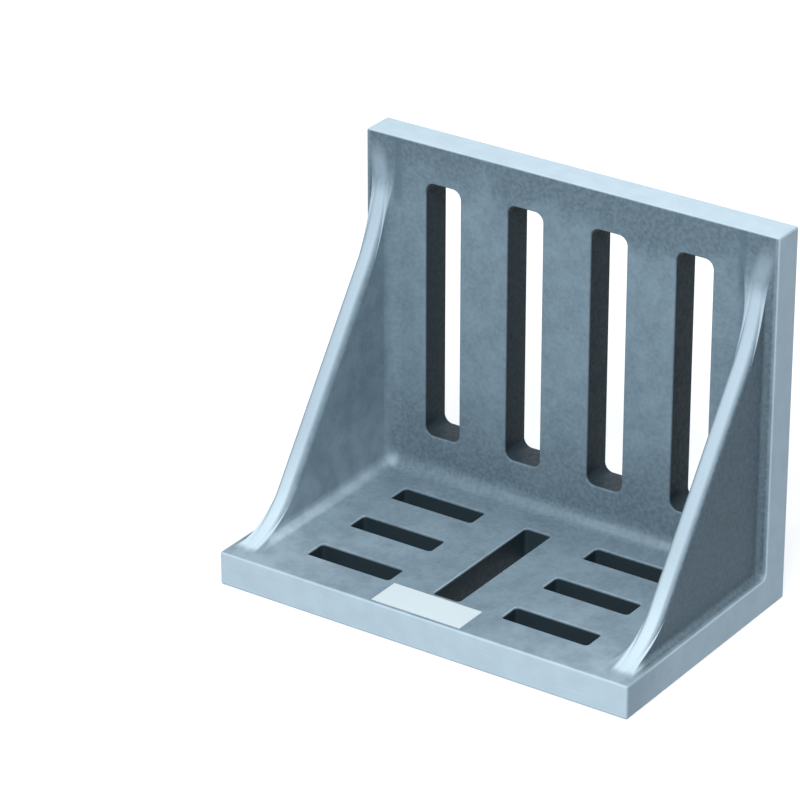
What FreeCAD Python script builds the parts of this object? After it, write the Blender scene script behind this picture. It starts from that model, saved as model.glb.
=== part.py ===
import FreeCAD, Part
import math
import os
from FreeCAD import Vector

# Slotted, webbed angle plate, millimetres.
# X runs along the length, +Y is the outer face of the upright, +Z is up.
# The origin is under the middle of the plate, on the face that it stands on.

LENGTH = 240.0              # along X, over both ends
DEPTH = 148.0               # along Y, front of the base to the outer face of the upright
HEIGHT = 203.0              # underside of the base to the top of the upright
BASE_THICKNESS = 18.5
UPRIGHT_THICKNESS = 18.5

WEB_THICKNESS = 10.0
WEB_INSET = 5.0             # end of the plate to the outer face of the nearer web
WEB_TOE_SETBACK = 26.5      # front of the base to where the web's edge line meets the base
WEB_TOP_SETDOWN = 38.5      # top of the upright to where the web's edge line meets it
WEB_FOOT_RADIUS = 48.0      # hollow curve of the web's edge into the base
WEB_HEAD_RADIUS = 105.0     # hollow curve of the web's edge into the upright
WEB_EDGE_RADIUS = 4.0       # rounding of the web's two long edges
WEB_END_SINK = 0.15         # how far those hollow curves run into the plates, so that they end cleanly

INNER_FILLET = 7.0          # casting fillets of the pocket between the webs
OUTER_FILLET = 3.4          # casting fillets outside the webs
EDGE_RADIUS = 1.2           # broken outer edges of the machined faces
SLOT_MOUTH_RADIUS = 0.8     # rounding of the slots' mouths on the cast side

UPRIGHT_SLOT_COUNT = 4
UPRIGHT_SLOT_PITCH = 49.0
UPRIGHT_SLOT_WIDTH = 21.0
UPRIGHT_SLOT_CORNER = 5.0
UPRIGHT_SLOT_BOTTOM_WEB = 22.0   # base's upper face to the foot of the slots
UPRIGHT_SLOT_TOP_WEB = 21.0      # head of the slots to the top of the upright

CROSS_SLOT_ROWS = 3
CROSS_SLOT_PITCH = 36.8          # between rows, along Y
CROSS_SLOT_FRONT = 29.7          # front of the base to the middle of the first row
CROSS_SLOT_LENGTH = 49.5
CROSS_SLOT_WIDTH = 13.8
CROSS_SLOT_END_MARGIN = 37.2     # end of the plate to the near end of a cross slot
CENTRE_SLOT_WIDTH = 15.6
CENTRE_SLOT_FRONT = 24.2         # front of the base to the near end of the centre slot
CENTRE_SLOT_LENGTH = 84.0
BASE_SLOT_CORNER = 2.0

LABEL_WIDTH = 52.0
LABEL_DEPTH = 20.0
LABEL_THICKNESS = 0.3
LABEL_FRONT = 1.8                # front of the base to the label
LABEL_OFF_CENTRE = -3.0          # middle of the label from the middle of the plate, along X

OVERRUN = 10.0                   # how far cutting tools run past the faces that they cut
TOLERANCE = 1e-3                 # how near two places lie that are taken as one

END_X = LENGTH / 2
FRONT_Y = -DEPTH / 2
BACK_Y = DEPTH / 2
INNER_Y = BACK_Y - UPRIGHT_THICKNESS      # the upright's inner face
WEB_OUTER_X = END_X - WEB_INSET
WEB_INNER_X = WEB_OUTER_X - WEB_THICKNESS


def line(start, end):
    return Part.LineSegment(start, end).toShape()


def arc(centre, radius, start, end):
    """An arc in the plane of its centre's X, from one angle to another, measured from +Y to +Z."""
    def at(angle):
        return centre + Vector(0, radius * math.cos(angle), radius * math.sin(angle))
    return Part.Arc(at(start), at((start + end) / 2), at(end)).toShape()


def box(low, high):
    size = high - low
    return Part.makeBox(size.x, size.y, size.z, low)


def extrude_x(edges, length):
    return Part.Face(Part.Wire(edges)).extrude(Vector(length, 0, 0))


def runs_along(edge, axis):
    """True for a straight edge along the axis given as 0, 1 or 2."""
    ends = [vertex.Point for vertex in edge.Vertexes]
    if len(ends) != 2 or not isinstance(edge.Curve, (Part.Line, Part.LineSegment)):
        return False
    run = ends[1] - ends[0]
    return abs(abs(run[axis]) - run.Length) < TOLERANCE


def edges_where(shape, test):
    return [edge for edge in shape.Edges if test(edge)]


def lies_at(edge, axis, value):
    """True for an edge that lies wholly in the plane where the axis has this value."""
    bounds = edge.BoundBox
    low = (bounds.XMin, bounds.YMin, bounds.ZMin)[axis]
    high = (bounds.XMax, bounds.YMax, bounds.ZMax)[axis]
    return abs(low - value) < TOLERANCE and abs(high - value) < TOLERANCE


def web_edge(x, lowered):
    """The web's sloping edge at X, foot to head: hollow curve, straight, hollow curve.
    Its straight part is lowered into the web by the amount given, and its ends stay where they are.
    It is trimmed where it leaves the two plates."""
    foot = Vector(x, FRONT_Y + WEB_TOE_SETBACK, BASE_THICKNESS - WEB_END_SINK)
    head = Vector(x, INNER_Y + WEB_END_SINK, HEIGHT - WEB_TOP_SETDOWN)
    slope = math.atan2(head.z - foot.z, head.y - foot.y)
    rest = math.pi / 2 - slope
    foot_run = WEB_FOOT_RADIUS * math.tan(slope / 2)
    head_run = WEB_HEAD_RADIUS * math.tan(rest / 2)
    foot_radius = (foot_run + lowered / math.sin(slope)) / math.tan(slope / 2)
    head_radius = (head_run + lowered / math.sin(rest)) / math.tan(rest / 2)
    foot_centre = foot + Vector(0, -foot_run, foot_radius)
    head_centre = head + Vector(0, -head_radius, head_run)
    leaves_base = math.acos((foot_centre.z - BASE_THICKNESS) / foot_radius) - math.pi / 2
    meets_upright = -math.acos((INNER_Y - head_centre.y) / head_radius)
    foot_arc = arc(foot_centre, foot_radius, leaves_base, slope - math.pi / 2)
    head_arc = arc(head_centre, head_radius, -rest, meets_upright)
    straight = line(foot_arc.Vertexes[-1].Point, head_arc.Vertexes[0].Point)
    return [foot_arc, straight, head_arc]


def rough_body():
    """Both plates and the space under the webs' edges, along the whole length."""
    slope = web_edge(-END_X, WEB_EDGE_RADIUS)
    toe, top = slope[0].Vertexes[0].Point, slope[-1].Vertexes[-1].Point
    corners = [
        top,
        Vector(-END_X, INNER_Y, HEIGHT),
        Vector(-END_X, BACK_Y, HEIGHT),
        Vector(-END_X, BACK_Y, 0),
        Vector(-END_X, FRONT_Y, 0),
        Vector(-END_X, FRONT_Y, BASE_THICKNESS),
        toe,
    ]
    outline = slope + [line(a, b) for a, b in zip(corners, corners[1:])]
    return extrude_x(outline, LENGTH)


def web():
    """One web with rounded long edges, its inner face at x = 0."""
    slope = web_edge(0, 0)
    toe, top = slope[0].Vertexes[0].Point, slope[-1].Vertexes[-1].Point
    heel = Vector(0, INNER_Y + UPRIGHT_THICKNESS / 2, BASE_THICKNESS / 2)
    corners = [
        top,
        Vector(0, heel.y, top.z),
        heel,
        Vector(0, toe.y, heel.z),
        toe,
    ]
    plain = extrude_x(slope + [line(a, b) for a, b in zip(corners, corners[1:])], WEB_THICKNESS)

    def on_slope(edge):
        middle = edge.CenterOfMass
        on_face = lies_at(edge, 0, 0) or lies_at(edge, 0, WEB_THICKNESS)
        return on_face and any(
            middle.isEqual(stretch.CenterOfMass + Vector(middle.x, 0, 0), TOLERANCE) for stretch in slope)

    return plain.makeFillet(WEB_EDGE_RADIUS, edges_where(plain, on_slope))


def pocket():
    """The space between the webs, with the casting fillets on its edges."""
    space = box(Vector(-WEB_INNER_X, FRONT_Y - OVERRUN, BASE_THICKNESS),
                Vector(WEB_INNER_X, INNER_Y, HEIGHT + OVERRUN))

    def rounded(edge):
        floor = lies_at(edge, 2, BASE_THICKNESS)
        back = lies_at(edge, 1, INNER_Y)
        return (floor and (runs_along(edge, 1) or back)) or (back and runs_along(edge, 2))

    return space.makeFillet(INNER_FILLET, edges_where(space, rounded))


def end_recess():
    """The shallow space outside the right-hand web."""
    space = box(Vector(WEB_OUTER_X, FRONT_Y - OVERRUN, BASE_THICKNESS),
                Vector(END_X + OVERRUN, INNER_Y, HEIGHT + OVERRUN))

    def rounded(edge):
        floor = lies_at(edge, 2, BASE_THICKNESS)
        back = lies_at(edge, 1, INNER_Y)
        inner = lies_at(edge, 0, WEB_OUTER_X)
        return (floor and back) or (inner and (floor or back))

    return space.makeFillet(min(OUTER_FILLET, WEB_INSET - EDGE_RADIUS), edges_where(space, rounded))


def mirrored(shape):
    return shape.mirror(Vector(0, 0, 0), Vector(1, 0, 0))


def upright_slots():
    """Cutters for the slots through the upright."""
    low = BASE_THICKNESS + UPRIGHT_SLOT_BOTTOM_WEB
    high = HEIGHT - UPRIGHT_SLOT_TOP_WEB
    first = -(UPRIGHT_SLOT_COUNT - 1) * UPRIGHT_SLOT_PITCH / 2
    cutters = []
    for index in range(UPRIGHT_SLOT_COUNT):
        middle = first + index * UPRIGHT_SLOT_PITCH
        cutter = box(Vector(middle - UPRIGHT_SLOT_WIDTH / 2, INNER_Y - OVERRUN, low),
                     Vector(middle + UPRIGHT_SLOT_WIDTH / 2, BACK_Y + OVERRUN, high))
        cutters.append(cutter.makeFillet(UPRIGHT_SLOT_CORNER,
                                         edges_where(cutter, lambda edge: runs_along(edge, 1))))
    return cutters


def base_slot(low_x, high_x, low_y, high_y):
    cutter = box(Vector(low_x, low_y, -OVERRUN), Vector(high_x, high_y, BASE_THICKNESS + OVERRUN))
    return cutter.makeFillet(BASE_SLOT_CORNER, edges_where(cutter, lambda edge: runs_along(edge, 2)))


def base_slots():
    """Cutters for three cross slots on each side and the one slot that runs front to back."""
    far = END_X - CROSS_SLOT_END_MARGIN
    near = far - CROSS_SLOT_LENGTH
    cutters = []
    for row in range(CROSS_SLOT_ROWS):
        middle = FRONT_Y + CROSS_SLOT_FRONT + row * CROSS_SLOT_PITCH
        low_y, high_y = middle - CROSS_SLOT_WIDTH / 2, middle + CROSS_SLOT_WIDTH / 2
        cutters.append(base_slot(-far, -near, low_y, high_y))
        cutters.append(base_slot(near, far, low_y, high_y))
    front = FRONT_Y + CENTRE_SLOT_FRONT
    cutters.append(base_slot(-CENTRE_SLOT_WIDTH / 2, CENTRE_SLOT_WIDTH / 2,
                             front, front + CENTRE_SLOT_LENGTH))
    return cutters


def with_rounded_mouths(body, cutters, axis, value):
    """The slots' mouths in one plane, rounded."""
    boxes = [cutter.BoundBox for cutter in cutters]
    for bounds in boxes:
        bounds.enlarge(TOLERANCE)
    mouths = edges_where(body, lambda edge: lies_at(edge, axis, value)
                         and any(bounds.isInside(edge.CenterOfMass) for bounds in boxes))
    return body.makeFillet(SLOT_MOUTH_RADIUS, mouths)


def with_broken_edges(body):
    """The outer edges of the six machined faces, rounded."""
    outer = [(0, -END_X), (0, END_X), (1, FRONT_Y), (1, BACK_Y), (2, 0), (2, HEIGHT)]
    return body.makeFillet(EDGE_RADIUS, edges_where(
        body, lambda edge: any(lies_at(edge, axis, value) for axis, value in outer)))


def angle_plate_casting():
    """The whole plate, one iron casting with its outer faces machined."""
    recess = end_recess()
    body = rough_body().cut([pocket(), recess, mirrored(recess)])
    right_web = web().translated(Vector(WEB_INNER_X, 0, 0))
    body = body.fuse([right_web, mirrored(right_web)]).removeSplitter()
    body = with_broken_edges(body)
    upright, base = upright_slots(), base_slots()
    body = body.cut(upright + base)
    body = with_rounded_mouths(body, upright, 1, INNER_Y)
    return with_rounded_mouths(body, base, 2, BASE_THICKNESS)


def blank_label():
    """A plain self-adhesive label on the base, between its front edge and the centre slot."""
    low = Vector(LABEL_OFF_CENTRE - LABEL_WIDTH / 2, FRONT_Y + LABEL_FRONT, BASE_THICKNESS)
    return box(low, low + Vector(LABEL_WIDTH, LABEL_DEPTH, LABEL_THICKNESS))


def main():
    os.makedirs("parts", exist_ok=True)
    for name, shape in (("angle_plate_casting", angle_plate_casting()),
                        ("blank_label", blank_label())):
        solid = shape.Solids[0]
        print(name, "solids", len(shape.Solids), "valid", shape.isValid(),
              "volume %.0f mm3" % shape.Volume)
        solid.exportStep("parts/%s.step" % name)


main()
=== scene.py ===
import math

import bmesh
import bpy
from mathutils import Matrix, Vector


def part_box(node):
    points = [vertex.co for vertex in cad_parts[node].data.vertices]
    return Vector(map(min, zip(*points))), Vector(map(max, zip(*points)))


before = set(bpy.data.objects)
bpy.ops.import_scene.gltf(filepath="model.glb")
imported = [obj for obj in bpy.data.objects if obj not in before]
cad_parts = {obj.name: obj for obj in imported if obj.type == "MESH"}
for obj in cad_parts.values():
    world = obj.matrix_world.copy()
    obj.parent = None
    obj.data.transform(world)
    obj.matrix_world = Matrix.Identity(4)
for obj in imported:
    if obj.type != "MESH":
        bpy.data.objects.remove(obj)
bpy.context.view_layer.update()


# --- The casting -----------------------------------------------------------------------------
# The whole plate is one grey iron casting: base, upright and two webs. Inside it keeps the skin
# of the sand mould under a thin blue-grey coat. Its outer faces are planed square, and the
# sloped edges of the webs are dressed with a grinder.

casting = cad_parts["angle_plate_casting"]
low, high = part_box("angle_plate_casting")
mm = 0.001
half_length = high.x / mm
half_depth = high.y / mm
height = high.z / mm
plate_thickness = 18.5          # the base's and the upright's
inner_y = half_depth - plate_thickness
web_outer_x = half_length - 5.0
web_inner_x = web_outer_x - 10.0
edge_foot = (26.5 - half_depth, plate_thickness)     # where the line of a web's edge meets the base
edge_head = (inner_y, height - 38.5)                 # and the upright, both as y and z
foot_radius, head_radius = 48.0, 105.0               # hollow ends of that edge
edge_round = 4.0                                     # rounding along both its sides

DARK_COAT_AND_SHADE = (0.105, 0.155, 0.192)      # painted shade down in the corners and beside the webs; also the darker random patches
LIT_COAT = (0.190, 0.270, 0.330)      # the coat where painted light falls, away from the corners
PALE_COAT = (0.330, 0.430, 0.505)
ROOT_HIGHLIGHT = (0.560, 0.680, 0.760)      # a painted highlight along the roots of the webs and the upright
LIT_WEB_COAT = (0.226, 0.315, 0.378)       # painted light: a paler copy of the coat on the inner faces of the webs
OUTER_COAT = (0.062, 0.098, 0.120)     # outside the webs, much darker
# painted shade inside the slots
SLOT_SHADE = (0.020, 0.036, 0.046)
PLANED_IRON = (0.535, 0.668, 0.758)
BRIGHT_IRON = (0.575, 0.705, 0.785)
DRESSED_IRON = (0.420, 0.530, 0.615)


def new_node(tree, kind, inputs=None, **settings):
    """A node with its settings made and its inputs given values or wired."""
    made = tree.nodes.new(kind)
    for name, value in settings.items():
        setattr(made, name, value)
    for name, value in (inputs or {}).items():
        if isinstance(value, bpy.types.NodeSocket):
            tree.links.new(value, made.inputs[name])
        else:
            made.inputs[name].default_value = value
    return made


def maths(tree, operation, *values):
    return new_node(tree, "ShaderNodeMath", dict(enumerate(values)), operation=operation).outputs[0]


def step_between(tree, value, start, end):
    """0 on the start's side and 1 on the end's, with a smooth turn between. Either may be larger."""
    made = new_node(tree, "ShaderNodeMapRange", {"Value": value, "From Min": start, "From Max": end},
                    interpolation_type="SMOOTHSTEP")
    return made.outputs["Result"]


def blended(tree, share, colour_a, colour_b):
    """The first colour, with a share of the second mixed in."""
    made = new_node(tree, "ShaderNodeMix", data_type="RGBA")
    for socket, value in ((0, share), (6, colour_a), (7, colour_b)):
        if isinstance(value, bpy.types.NodeSocket):
            tree.links.new(value, made.inputs[socket])
        elif socket == 0:
            made.inputs[socket].default_value = value
        else:
            made.inputs[socket].default_value = (*value, 1)
    return made.outputs[2]


def node_group(name, inputs, outputs):
    """An empty shader node group with named sockets, and its input and output nodes."""
    tree = bpy.data.node_groups.new(name, "ShaderNodeTree")
    for label, (kind, value) in inputs.items():
        socket = tree.interface.new_socket(label, in_out="INPUT", socket_type=kind)
        if value is not None:
            socket.default_value = value
    for label, kind in outputs.items():
        tree.interface.new_socket(label, in_out="OUTPUT", socket_type=kind)
    return tree, tree.nodes.new("NodeGroupInput"), tree.nodes.new("NodeGroupOutput")


def placed(tree, group, inputs):
    """A shader node group placed in a material."""
    return new_node(tree, "ShaderNodeGroup", inputs, node_tree=group)


def where_all(tree, *masks):
    """1 where all the masks are 1."""
    made = masks[0]
    for mask in masks[1:]:
        made = maths(tree, "MULTIPLY", made, mask)
    return made


def stained(tree, colour, stains):
    """The colour with stains laid over it in turn, each a mask, a share and a colour."""
    for mask, share, stain in stains:
        colour = blended(tree, maths(tree, "MULTIPLY", mask, share), colour, stain)
    return colour


def new_material(name):
    made = bpy.data.materials.new(name)
    made.use_nodes = True
    made.node_tree.nodes.clear()
    return made, made.node_tree


def place_in_mm(tree):
    """Where a point lies in its own piece, in millimetres."""
    place = new_node(tree, "ShaderNodeTexCoord").outputs["Object"]
    return new_node(tree, "ShaderNodeVectorMath", {0: place, "Scale": 1 / mm}, operation="SCALE").outputs[0]


def put_out(tree, shader, output="ShaderNodeOutputMaterial"):
    tree.links.new(shader.outputs[0], new_node(tree, output).inputs["Surface"])


# Grain of one size: how high the surface stands, and where it is paler.
grain, given, result = node_group(
    "grain",
    {"Position": ("NodeSocketVector", None), "Size": ("NodeSocketFloat", 1.0),
     "Detail": ("NodeSocketFloat", 2.0)},
    {"Height": "NodeSocketFloat", "Tone": "NodeSocketFloat"})
pattern = new_node(grain, "ShaderNodeTexNoise",
                   {"Vector": given.outputs["Position"],
                    "Scale": maths(grain, "DIVIDE", 1.0, given.outputs["Size"]),
                    "Detail": given.outputs["Detail"], "Roughness": 0.55})
grain.links.new(pattern.outputs["Fac"], result.inputs["Height"])
grain.links.new(step_between(grain, pattern.outputs["Fac"], 0.3, 0.7), result.inputs["Tone"])

# How deep a place lies under the sloping edge of the webs: line, and a hollow curve at each end.
run_y, run_z = edge_head[0] - edge_foot[0], edge_head[1] - edge_foot[1]
slope = math.atan2(run_z, run_y)
foot_run = foot_radius * math.tan(slope / 2)
head_run = head_radius * math.tan((math.pi / 2 - slope) / 2)
under_edge, given, result = node_group(
    "under_edge", {"Position": ("NodeSocketVector", None)}, {"Depth": "NodeSocketFloat"})
offset = new_node(under_edge, "ShaderNodeVectorMath",
                  {0: given.outputs["Position"], 1: (0, *edge_foot)}, operation="SUBTRACT").outputs[0]
along_edge = new_node(under_edge, "ShaderNodeVectorMath",
                      {0: offset, 1: (0, math.cos(slope), math.sin(slope))},
                      operation="DOT_PRODUCT").outputs["Value"]
depth = new_node(under_edge, "ShaderNodeVectorMath",
                 {0: offset, 1: (0, math.sin(slope), -math.cos(slope))},
                 operation="DOT_PRODUCT").outputs["Value"]
flat_place = new_node(under_edge, "ShaderNodeVectorMath", {0: given.outputs["Position"], 1: (0, 1, 1)},
                      operation="MULTIPLY").outputs[0]
for centre, radius, test, limit in (
        ((0, edge_foot[0] - foot_run, edge_foot[1] + foot_radius), foot_radius, "LESS_THAN", foot_run),
        ((0, edge_head[0] - head_radius, edge_head[1] + head_run), head_radius, "GREATER_THAN",
         math.hypot(run_y, run_z) - head_run)):
    reach = new_node(under_edge, "ShaderNodeVectorMath", {0: flat_place, 1: centre},
                     operation="DISTANCE").outputs["Value"]
    depth = new_node(under_edge, "ShaderNodeMix",
                     {0: maths(under_edge, test, along_edge, limit), 2: depth,
                      3: maths(under_edge, "SUBTRACT", reach, radius)}, data_type="FLOAT").outputs[0]
under_edge.links.new(depth, result.inputs["Depth"])

iron, tree = new_material("grey_iron")
place = place_in_mm(tree)
x, y, z = new_node(tree, "ShaderNodeSeparateXYZ", {0: place}).outputs
facing = new_node(tree, "ShaderNodeSeparateXYZ",
                  {0: new_node(tree, "ShaderNodeNewGeometry").outputs["Normal"]}).outputs
facing_x, facing_y, facing_z = (maths(tree, "ABSOLUTE", part) for part in facing)
off_middle = maths(tree, "ABSOLUTE", x)
off_centre = maths(tree, "ABSOLUTE", y)

fine = placed(tree, grain, {"Position": place, "Size": 1.1, "Detail": 3.0})
coarse = placed(tree, grain, {"Position": place, "Size": 5.5, "Detail": 2.0})
cloud = placed(tree, grain, {"Position": place, "Size": 30.0, "Detail": 4.0})
patch = placed(tree, grain, {"Position": place, "Size": 12.0, "Detail": 3.0})
speck = placed(tree, grain, {"Position": place, "Size": 2.2, "Detail": 5.0})
lay_place = new_node(tree, "ShaderNodeVectorMath", {0: place, 1: (0.02, 1.0, 1.0)},
                     operation="MULTIPLY").outputs[0]
lay = placed(tree, grain, {"Position": lay_place, "Size": 0.5, "Detail": 2.0})

# Zones wander by as much as this, so that none ends in a straight line.
wander_width = 60.0
wander = maths(tree, "MULTIPLY_ADD", cloud.outputs["Height"], wander_width, -wander_width / 2)
x_there, y_there, z_there = (maths(tree, "ADD", part, wander) for part in (x, y, z))

# Planed faces: both ends, the front edge, the back, the top edge and the underside.
skin_start, skin_full = 0.9, 0.1        # depths under a planed face
on_ends = step_between(tree, off_middle, half_length - skin_start, half_length - skin_full)
planed = on_ends
for mask in (step_between(tree, off_centre, half_depth - skin_start, half_depth - skin_full),
             step_between(tree, z, height - skin_start, height - skin_full),
             step_between(tree, z, skin_start, skin_full)):
    planed = maths(tree, "MAXIMUM", planed, mask)

# Walls of the slots, under the cast faces and well inside the plates' edges, are painted near black as
# shade.
wall_start, wall_full = 0.6, 1.6        # depths under a cast face
plate_facing = (0.7, 0.3)               # share of the plate's own direction, which a wall lacks
inside_ends = step_between(tree, off_middle, half_length - 12.0, half_length - 14.0)
in_upright = where_all(tree, inside_ends, step_between(tree, facing_y, *plate_facing),
                       step_between(tree, y, inner_y + wall_start, inner_y + wall_full),
                       step_between(tree, z, height - 10.0, height - 12.0))
in_base = where_all(tree, inside_ends, step_between(tree, facing_z, *plate_facing),
                    step_between(tree, z, plate_thickness - wall_start, plate_thickness - wall_full),
                    step_between(tree, off_centre, half_depth - 8.0, half_depth - 10.0))
slotted = maths(tree, "MAXIMUM", in_upright, in_base)

# Painted shade: the coat is darker low on the upright and towards the back of the base, where the plates
# meet, and also near the upright's top edge. It is paler between the upright's slots and towards the front
# of the base.
on_base = step_between(tree, z, plate_thickness + 12.0, plate_thickness + 2.0)
paler_zone = maths(tree, "MAXIMUM",
               where_all(tree, step_between(tree, z_there, 25.0, 85.0),
                         step_between(tree, z_there, height - 8.0, height - 35.0)),
               where_all(tree, on_base, step_between(tree, y_there, 95.0, 0.0)))
# Painted light: paler still on the front of the base top, most towards its ends.
front_corners = where_all(tree, on_base, step_between(tree, y_there, 30.0, -90.0),
                          step_between(tree, off_middle, 0.0, 90.0))
# Painted shade on the upright between the outer slots and the webs.
shade_beside_webs = where_all(tree, step_between(tree, off_middle, 78.0, 95.0),
                         step_between(tree, y, inner_y - 8.0, inner_y - 1.0))
# Painted light on the inner faces of the webs, picked by the way they face, palest low down.
on_web = where_all(tree, step_between(tree, facing_x, 0.5, 0.9),
                   step_between(tree, y, inner_y - 1.0, inner_y - 8.0))
low_on_web = where_all(tree, on_web, step_between(tree, z_there, 75.0, 25.0))

# A pale line is painted along the middle of the root fillets as a highlight: along the webs most in front,
# along the upright to one side, and as a spot in the inner back corners.
root_share = (0.28, 0.5)                # how far a face has turned from one plate to the next
beside_root = where_all(tree, on_base,
                        step_between(tree, maths(tree, "MULTIPLY", facing_x, facing_z), *root_share),
                        step_between(tree, y_there, 85.0, -60.0))
behind_root = where_all(tree, on_base,
                        step_between(tree, maths(tree, "MULTIPLY", facing_y, facing_z), *root_share),
                        step_between(tree, x_there, -60.0, 110.0))
corner = where_all(tree, on_base, step_between(tree, y, inner_y - 7.0, inner_y - 3.0),
                   step_between(tree, off_middle, web_inner_x - 7.0, web_inner_x - 3.0))

# Outside the webs the coat is much darker, down to a narrow rim that the planer left bright.
edge_depth = placed(tree, under_edge, {"Position": place}).outputs["Depth"]
outside = where_all(tree, step_between(tree, off_middle, web_outer_x - 1.0, web_outer_x - 0.2),
                    step_between(tree, edge_depth, -1.0, 3.0))
rim = step_between(tree, off_middle, web_outer_x + 2.2, web_outer_x + 3.8)

# Painted shade in the angle beside the heads of the webs.
before_face = step_between(tree, y, inner_y + 0.6, inner_y + 0.2)
shade_beside_heads = where_all(tree, step_between(tree, off_middle, web_inner_x - 8.0, web_inner_x - 5.0),
                  step_between(tree, off_middle, web_inner_x - 1.5, web_inner_x - 3.5),
                  step_between(tree, y, inner_y - 4.0, inner_y - 1.0), before_face,
                  step_between(tree, z, height - 42.0, height - 28.0))

coat = stained(tree, blended(tree, paler_zone, DARK_COAT_AND_SHADE, LIT_COAT), (
    (front_corners, 1.0, PALE_COAT),
    (shade_beside_webs, 0.22, DARK_COAT_AND_SHADE),
    (on_web, 1.0, LIT_WEB_COAT),
    (low_on_web, 1.0, PALE_COAT),
    (beside_root, 0.9, ROOT_HIGHLIGHT),
    (behind_root, 0.25, ROOT_HIGHLIGHT),
    (corner, 0.5, ROOT_HIGHLIGHT),
    (outside, 0.85, OUTER_COAT),
    (rim, 0.5, PALE_COAT),
    (patch.outputs["Tone"], 0.42, DARK_COAT_AND_SHADE),
    (speck.outputs["Tone"], 0.22, PALE_COAT),
    (shade_beside_heads, 0.7, DARK_COAT_AND_SHADE)))

# Dressed edges of the webs. Beside them on the upright, and a little way up its face above their heads, the
# same colour is painted light where the hollows flatten out and catch it.
worn = maths(tree, "MULTIPLY_ADD", speck.outputs["Height"], 1.2, -0.6)
over_web = step_between(tree, off_middle, web_inner_x - 0.8, web_inner_x + 0.8)
lit_beside_web = where_all(tree, step_between(tree, off_middle, web_inner_x - 4.0, web_inner_x - 1.0),
                       step_between(tree, z, 90.0, 130.0))
dressed_and_lit = where_all(tree,
                    step_between(tree, maths(tree, "ADD", edge_depth, worn), edge_round, 0.4 * edge_round),
                    maths(tree, "MAXIMUM", over_web, maths(tree, "MULTIPLY", lit_beside_web, 0.6)),
                    step_between(tree, off_middle, web_outer_x + 4.5, web_outer_x + 2.5),
                    step_between(tree, facing_x, 0.9, 0.3),
                    step_between(tree, z, plate_thickness, plate_thickness + 1.0),
                    step_between(tree, y, inner_y, inner_y - 4.0))
lean, lean_from = 0.24, height - 25.0   # the painted light patch leans outwards above there
head_light_x = maths(tree, "MULTIPLY_ADD",
                  maths(tree, "MAXIMUM", maths(tree, "SUBTRACT", z, lean_from), 0.0), lean,
                  (web_inner_x + web_outer_x) / 2)
off_head_light = maths(tree, "ADD", maths(tree, "ABSOLUTE", maths(tree, "SUBTRACT", off_middle, head_light_x)),
                    maths(tree, "MULTIPLY", worn, 2.0))
head_light_patch = where_all(tree, step_between(tree, off_head_light, 7.0, 1.5),
                    step_between(tree, y, inner_y - 4.5, inner_y - 0.5), before_face,
                    step_between(tree, z, height - 2.0, height - 18.0))
dressed_and_lit = maths(tree, "MAXIMUM", dressed_and_lit, maths(tree, "MULTIPLY", head_light_patch, 0.45))
ground = blended(tree, step_between(tree, z, 70.0, 22.0), DRESSED_IRON, BRIGHT_IRON)

# Planed iron has a lay along the plate, and is darker low at the front of its ends.
low_front_of_ends = where_all(tree, on_ends,
                    step_between(tree, z_there, plate_thickness + 25.0, plate_thickness - 5.0),
                    step_between(tree, y_there, -20.0, -75.0))
metal = stained(tree, PLANED_IRON, (
    (cloud.outputs["Tone"], 0.4, BRIGHT_IRON),
    (patch.outputs["Tone"], 0.32, DRESSED_IRON),
    (lay.outputs["Tone"], 0.25, DRESSED_IRON),
    (low_front_of_ends, 0.7, PALE_COAT)))
colour = stained(tree, coat, ((dressed_and_lit, 1.0, ground), (planed, 1.0, metal), (slotted, 1.0, SLOT_SHADE)))

roughness = maths(tree, "MULTIPLY_ADD", speck.outputs["Tone"], 0.15, 0.50)
skin_height = maths(tree, "ADD", maths(tree, "MULTIPLY", fine.outputs["Height"], 0.10),
                    maths(tree, "MULTIPLY", coarse.outputs["Height"], 0.25))
surface_height = new_node(tree, "ShaderNodeMix", {0: planed, 2: skin_height,
                                                  3: maths(tree, "MULTIPLY", lay.outputs["Height"], 0.02)},
                          data_type="FLOAT").outputs[0]
bump = new_node(tree, "ShaderNodeBump", {"Height": surface_height, "Strength": 0.6, "Distance": mm})
shader = new_node(tree, "ShaderNodeBsdfPrincipled",
                  {"Base Color": colour, "Roughness": roughness, "Normal": bump.outputs[0],
                   "Specular IOR Level": 0.12})
put_out(tree, shader)
casting.data.materials.clear()
casting.data.materials.append(iron)


# --- The label -------------------------------------------------------------------------------
# A plain strip of white paper label stock, stuck on the base just behind its front edge. It
# carries no print.

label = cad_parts["blank_label"]
WHITE_PAPER = (0.67, 0.77, 0.81)
WORN_PAPER = (0.60, 0.70, 0.75)
paper, tree = new_material("label_paper")
fibre = placed(tree, grain, {"Position": place_in_mm(tree), "Size": 0.6, "Detail": 4.0})
colour = stained(tree, WHITE_PAPER, ((fibre.outputs["Tone"], 0.2, WORN_PAPER),))
bump = new_node(tree, "ShaderNodeBump", {"Height": fibre.outputs["Height"], "Strength": 0.2,
                                         "Distance": 0.05 * mm})
shader = new_node(tree, "ShaderNodeBsdfPrincipled",
                  {"Base Color": colour, "Roughness": 0.6, "Normal": bump.outputs[0]})
put_out(tree, shader)
label.data.materials.clear()
label.data.materials.append(paper)


# --- The studio ------------------------------------------------------------------------------
# A pale floor under a white surround, one large soft lamp high in front and a weak one behind.
# The floor shows white but keeps the plate's soft shadow.

floor_radius, floor_gap = 5.0, 0.0002    # the gap keeps the floor clear of the standing face
floor_mesh = bpy.data.meshes.new("floor")
shape = bmesh.new()
bmesh.ops.create_circle(shape, cap_ends=True, segments=96, radius=floor_radius)
shape.to_mesh(floor_mesh)
shape.free()
floor = bpy.data.objects.new("floor", floor_mesh)
floor.location.z = -floor_gap
bpy.context.scene.collection.objects.link(floor)


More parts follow.
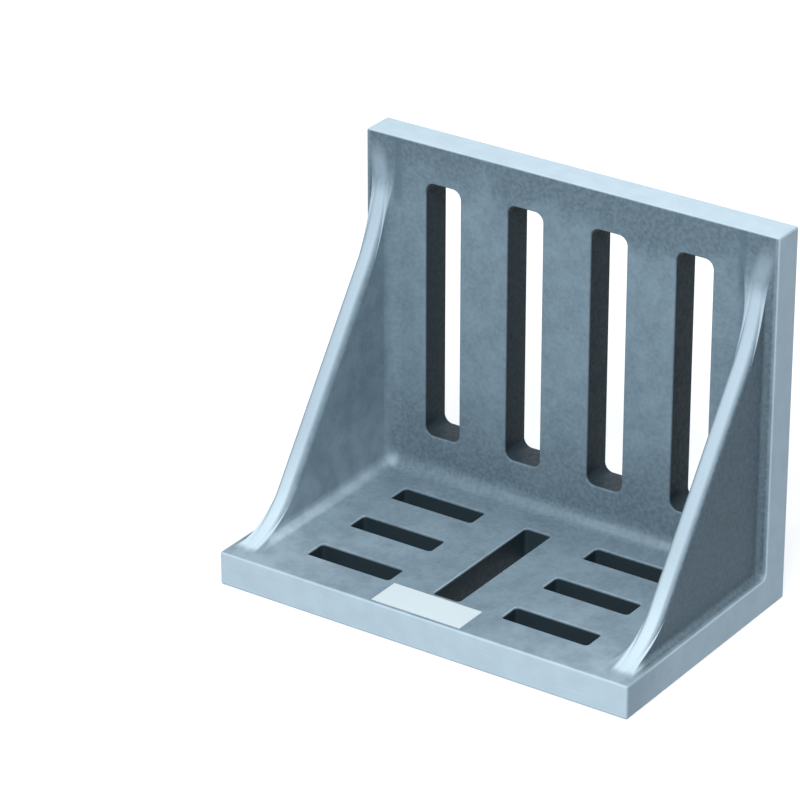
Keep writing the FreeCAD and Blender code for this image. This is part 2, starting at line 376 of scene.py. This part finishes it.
def seen_straight(tree):
    """1 for rays that look at the surround itself, also through glass or in a reflection."""
    rays = new_node(tree, "ShaderNodeLightPath").outputs
    return maths(tree, "MAXIMUM", rays["Is Camera Ray"],
                 maths(tree, "MAXIMUM", rays["Is Glossy Ray"], rays["Is Transmission Ray"]))


floor_paint, tree = new_material("floor_paint")
matt = new_node(tree, "ShaderNodeBsdfDiffuse", {"Color": (0.42, 0.45, 0.48, 1)})
glow = new_node(tree, "ShaderNodeEmission",
                {"Color": (1, 1, 1, 1), "Strength": maths(tree, "MULTIPLY", seen_straight(tree), 0.74)})
put_out(tree, new_node(tree, "ShaderNodeAddShader", {0: matt.outputs[0], 1: glow.outputs[0]}))
floor.data.materials.append(floor_paint)

world = bpy.data.worlds.new("surround")
bpy.context.scene.world = world
world.use_nodes = True
tree = world.node_tree
tree.nodes.clear()
dim = new_node(tree, "ShaderNodeBackground", {"Color": (0.87, 0.94, 1.0, 1), "Strength": 0.32})
white = new_node(tree, "ShaderNodeBackground", {"Color": (1, 1, 1, 1), "Strength": 1.0})
put_out(tree, new_node(tree, "ShaderNodeMixShader",
                       {0: seen_straight(tree), 1: dim.outputs[0], 2: white.outputs[0]}),
        "ShaderNodeOutputWorld")


def soft_lamp(name, position, aim, width, power):
    lamp = bpy.data.lights.new(name, "AREA")
    lamp.shape = "DISK"
    lamp.size = width
    lamp.energy = power
    made = bpy.data.objects.new(name, lamp)
    made.location = position
    made.rotation_mode = "QUATERNION"
    made.rotation_quaternion = (Vector(aim) - Vector(position)).to_track_quat("-Z", "Y")
    bpy.context.scene.collection.objects.link(made)


middle = (low + high) / 2
lamp_width = 0.9
soft_lamp("key_lamp", middle + Vector((0.36, -1.10, 1.40)), middle, lamp_width, 34.0)
soft_lamp("back_lamp", middle + Vector((-0.50, 1.40, 0.90)), middle, lamp_width, 6.0)


# --- The camera ------------------------------------------------------------------------------
# A long lens from in front, right of the plate and above it. The camera stands level, and the
# lens isn't shifted.

turn, dip = math.radians(34.426), math.radians(26.314)
ahead = Vector((-math.sin(turn) * math.cos(dip), math.cos(turn) * math.cos(dip), -math.sin(dip)))
right = Vector((math.cos(turn), math.sin(turn), 0))
up = right.cross(ahead)
lens = bpy.data.cameras.new("camera")
lens.sensor_width = 36.0
lens.lens = 204.42
lens.clip_start, lens.clip_end = 0.05, 50.0
camera = bpy.data.objects.new("camera", lens)
camera.matrix_world = Matrix.Translation((1.0875, -1.6764, 1.0943)) @ Matrix(
    (right, up, -ahead)).transposed().to_4x4()
bpy.context.scene.collection.objects.link(camera)
bpy.context.scene.camera = camera
bpy.context.scene.view_settings.view_transform = "Standard"
